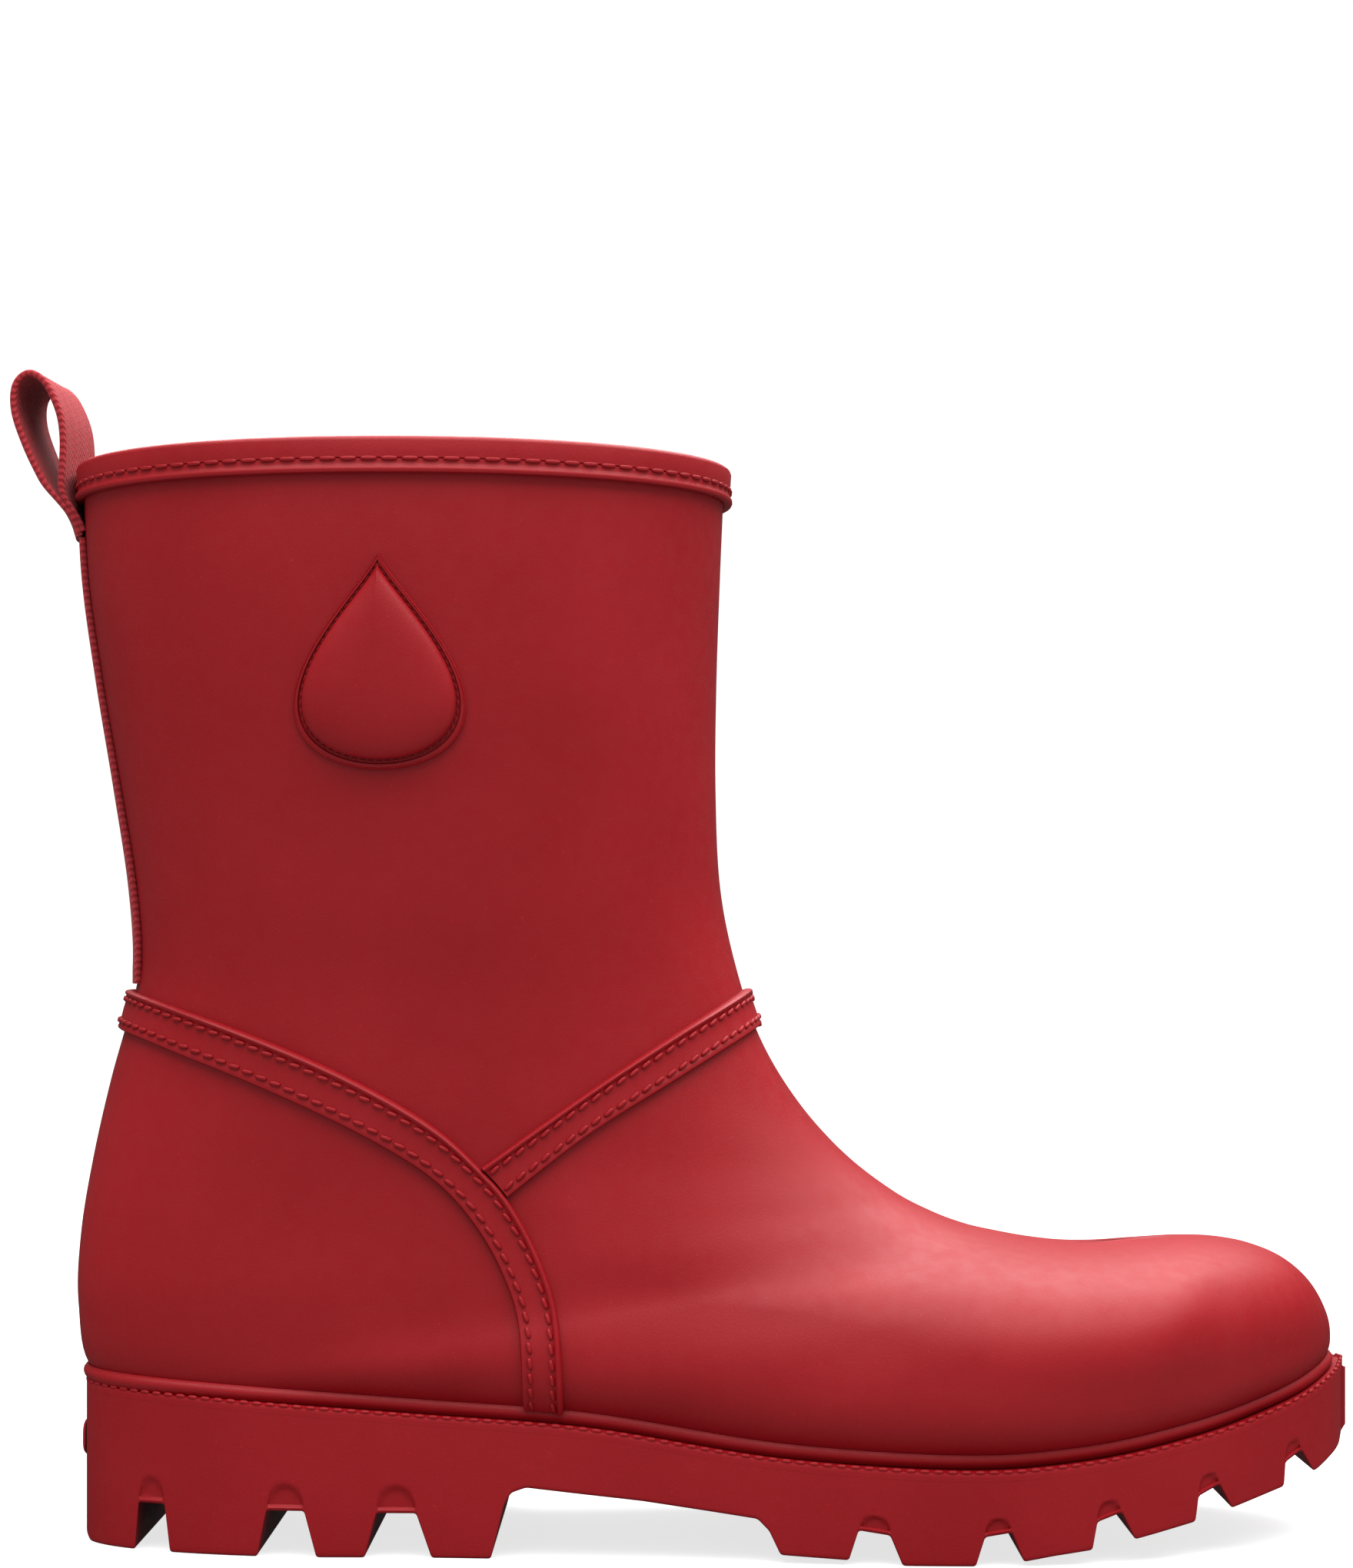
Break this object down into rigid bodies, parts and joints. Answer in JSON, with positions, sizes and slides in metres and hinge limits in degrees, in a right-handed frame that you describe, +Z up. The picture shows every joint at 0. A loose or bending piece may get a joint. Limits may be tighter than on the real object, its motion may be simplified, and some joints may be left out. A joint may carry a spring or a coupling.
{
  "type": "rubber rain boot",
  "caption": "Mid-calf rubber rain boot for the right foot, with a webbing pull loop, raised stitched straps, a padded emblem and a chunky lug sole.",
  "frame": {"origin": "on the ground, in the middle of the heel tread, 35 mm forward of the back of the sole", "axes": "+X towards the toe, +Y towards the inner (medial) side of the right foot, +Z up"},
  "size_m": [0.3058, 0.1186, 0.2657],
  "materials": {
    "red_rubber": "satin",
    "sole_rubber": "satin",
    "lining_knit": "matte",
    "webbing": "matte",
    "stiffener": "matte",
    "insole_fibreboard": "matte",
    "footbed_foam": "matte",
    "footbed_cloth": "matte",
    "cork_filler": "matte",
    "heel_foam": "matte",
    "shank_steel": "satin"
  },
  "bodies": {
    "boot": {"upper_shell": "red_rubber", "sock_lining": "lining_knit", "toe_puff": "stiffener", "heel_counter": "stiffener", "insole_board": "insole_fibreboard", "footbed": "footbed_foam", "footbed_cover": "footbed_cloth", "collar_band": "red_rubber", "collar_bead": "red_rubber", "counter_strap": "red_rubber", "instep_strap": "red_rubber", "emblem_base": "red_rubber", "emblem_cushion": "red_rubber", "backstay_webbing": "webbing", "rand_bead": "red_rubber", "welt": "sole_rubber", "outsole": "sole_rubber", "heel_tab": "red_rubber", "heel_filler": "heel_foam", "forefoot_filler": "cork_filler", "shank": "shank_steel"},
    "pull_loop": {"pull_loop": "webbing"}
  },
  "joints": [
    {"name": "pull_loop_swing", "type": "hinge", "parent": "boot", "child": "pull_loop", "pos_m": [-0.0367, 0, 0.228], "axis": [0, -1, 0], "range_deg": [0, 80], "stiffness_Nm_per_rad": 0.02}
  ]
}
